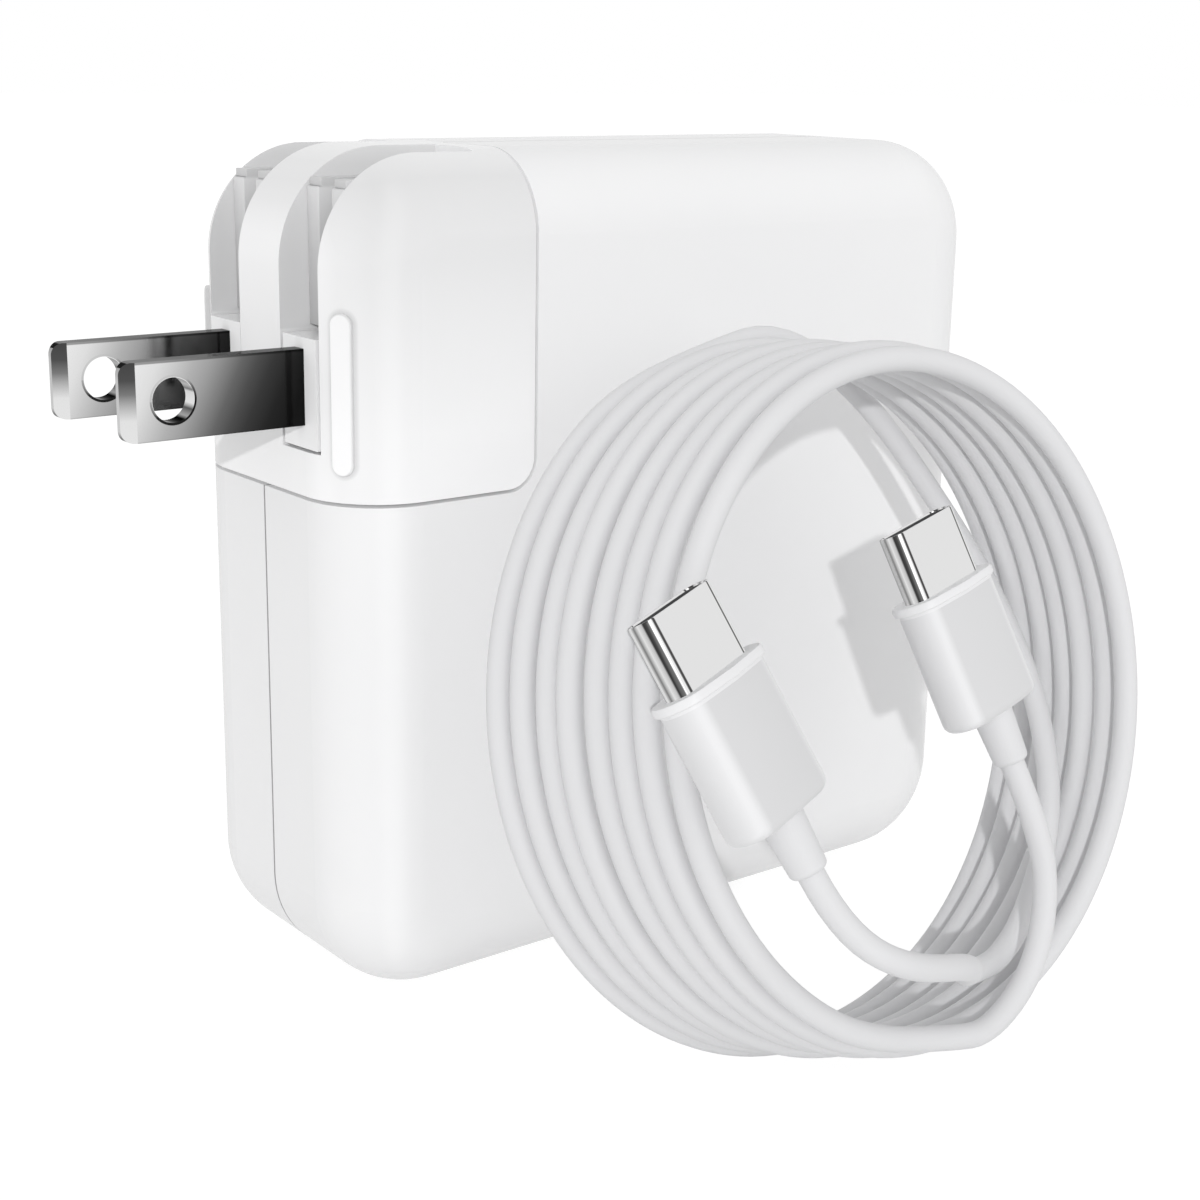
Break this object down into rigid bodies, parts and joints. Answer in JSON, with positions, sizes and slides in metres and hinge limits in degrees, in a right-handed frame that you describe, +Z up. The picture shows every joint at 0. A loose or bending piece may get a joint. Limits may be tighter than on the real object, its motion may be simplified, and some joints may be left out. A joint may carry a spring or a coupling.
{
  "type": "laptop power adapter",
  "caption": "Rounded square mains power adapter with a slide-off plug module, folding flat blades, a USB-C outlet and a coiled USB-C cable.",
  "frame": {"origin": "centre of the narrow face the adapter stands on, at floor level", "axes": "+X along the large faces, away from the blades; +Y from the front large face to the rear one; +Z up, towards the slots of the folded blades"},
  "size_m": [0.09, 0.0785, 0.074],
  "materials": {
    "white_plastic": "satin white, moulded",
    "grey_plastic": "matt light grey, moulded",
    "black_plastic": "matt black, moulded",
    "cable_sleeve": "matt white sleeve",
    "nickel": "nickel plated, fine grain",
    "copper": "bare metal",
    "board": "solder mask",
    "ferrite": "sintered, dark grey",
    "aluminium": "sheet, plain",
    "yellow_film": "film",
    "blue_coat": "dipped coating",
    "glass_tube": "clear"
  },
  "bodies": {
    "housing": {"bridge_rectifier": "black_plastic", "bulk_capacitors": "black_plastic", "cable_coil": "cable_sleeve", "cable_end_a": "cable_sleeve", "cable_end_b": "cable_sleeve", "choke_core": "ferrite", "choke_winding": "copper", "controller_chips": "black_plastic", "front_heat_spreader": "aluminium", "front_shell": "white_plastic", "fuse": "glass_tube", "inlet_block": "grey_plastic", "inlet_leads": "copper", "inlet_pins": "nickel", "insulating_sheet": "yellow_film", "line_capacitor": "blue_coat", "main_board": "board", "output_capacitors": "black_plastic", "output_inductor": "ferrite", "plug_a_body": "white_plastic", "plug_a_insert": "black_plastic", "plug_a_metal_shell": "nickel", "plug_a_strain_relief": "cable_sleeve", "plug_b_body": "white_plastic", "plug_b_insert": "black_plastic", "plug_b_metal_shell": "nickel", "plug_b_strain_relief": "cable_sleeve", "power_transistors": "black_plastic", "rail_stud": "nickel", "rear_heat_spreader": "aluminium", "rear_shell": "white_plastic", "stud_nut": "nickel", "suppressor_capacitor": "yellow_film", "transformer_core": "ferrite", "transformer_winding": "yellow_film", "usb_port_board": "board", "usb_port_header": "black_plastic", "usb_port_shell": "nickel", "usb_port_tongue": "black_plastic"},
    "plug_module": {"plug_shell": "white_plastic", "plug_base": "white_plastic", "socket_contacts": "nickel", "contact_springs": "copper", "rail_clip": "nickel", "hinge_pin": "nickel"},
    "blades": {"blade_carrier": "grey_plastic", "front_blade": "nickel", "rear_blade": "nickel"}
  },
  "joints": [
    {"name": "module_slide", "type": "slide", "parent": "housing", "child": "plug_module", "axis": [-1, 0, 0], "range_m": [0, 0.04]},
    {"name": "blade_fold", "type": "hinge", "parent": "plug_module", "child": "blades", "pos_m": [-0.033, 0, 0.0526], "axis": [0, 1, 0], "range_deg": [0, 90]}
  ]
}
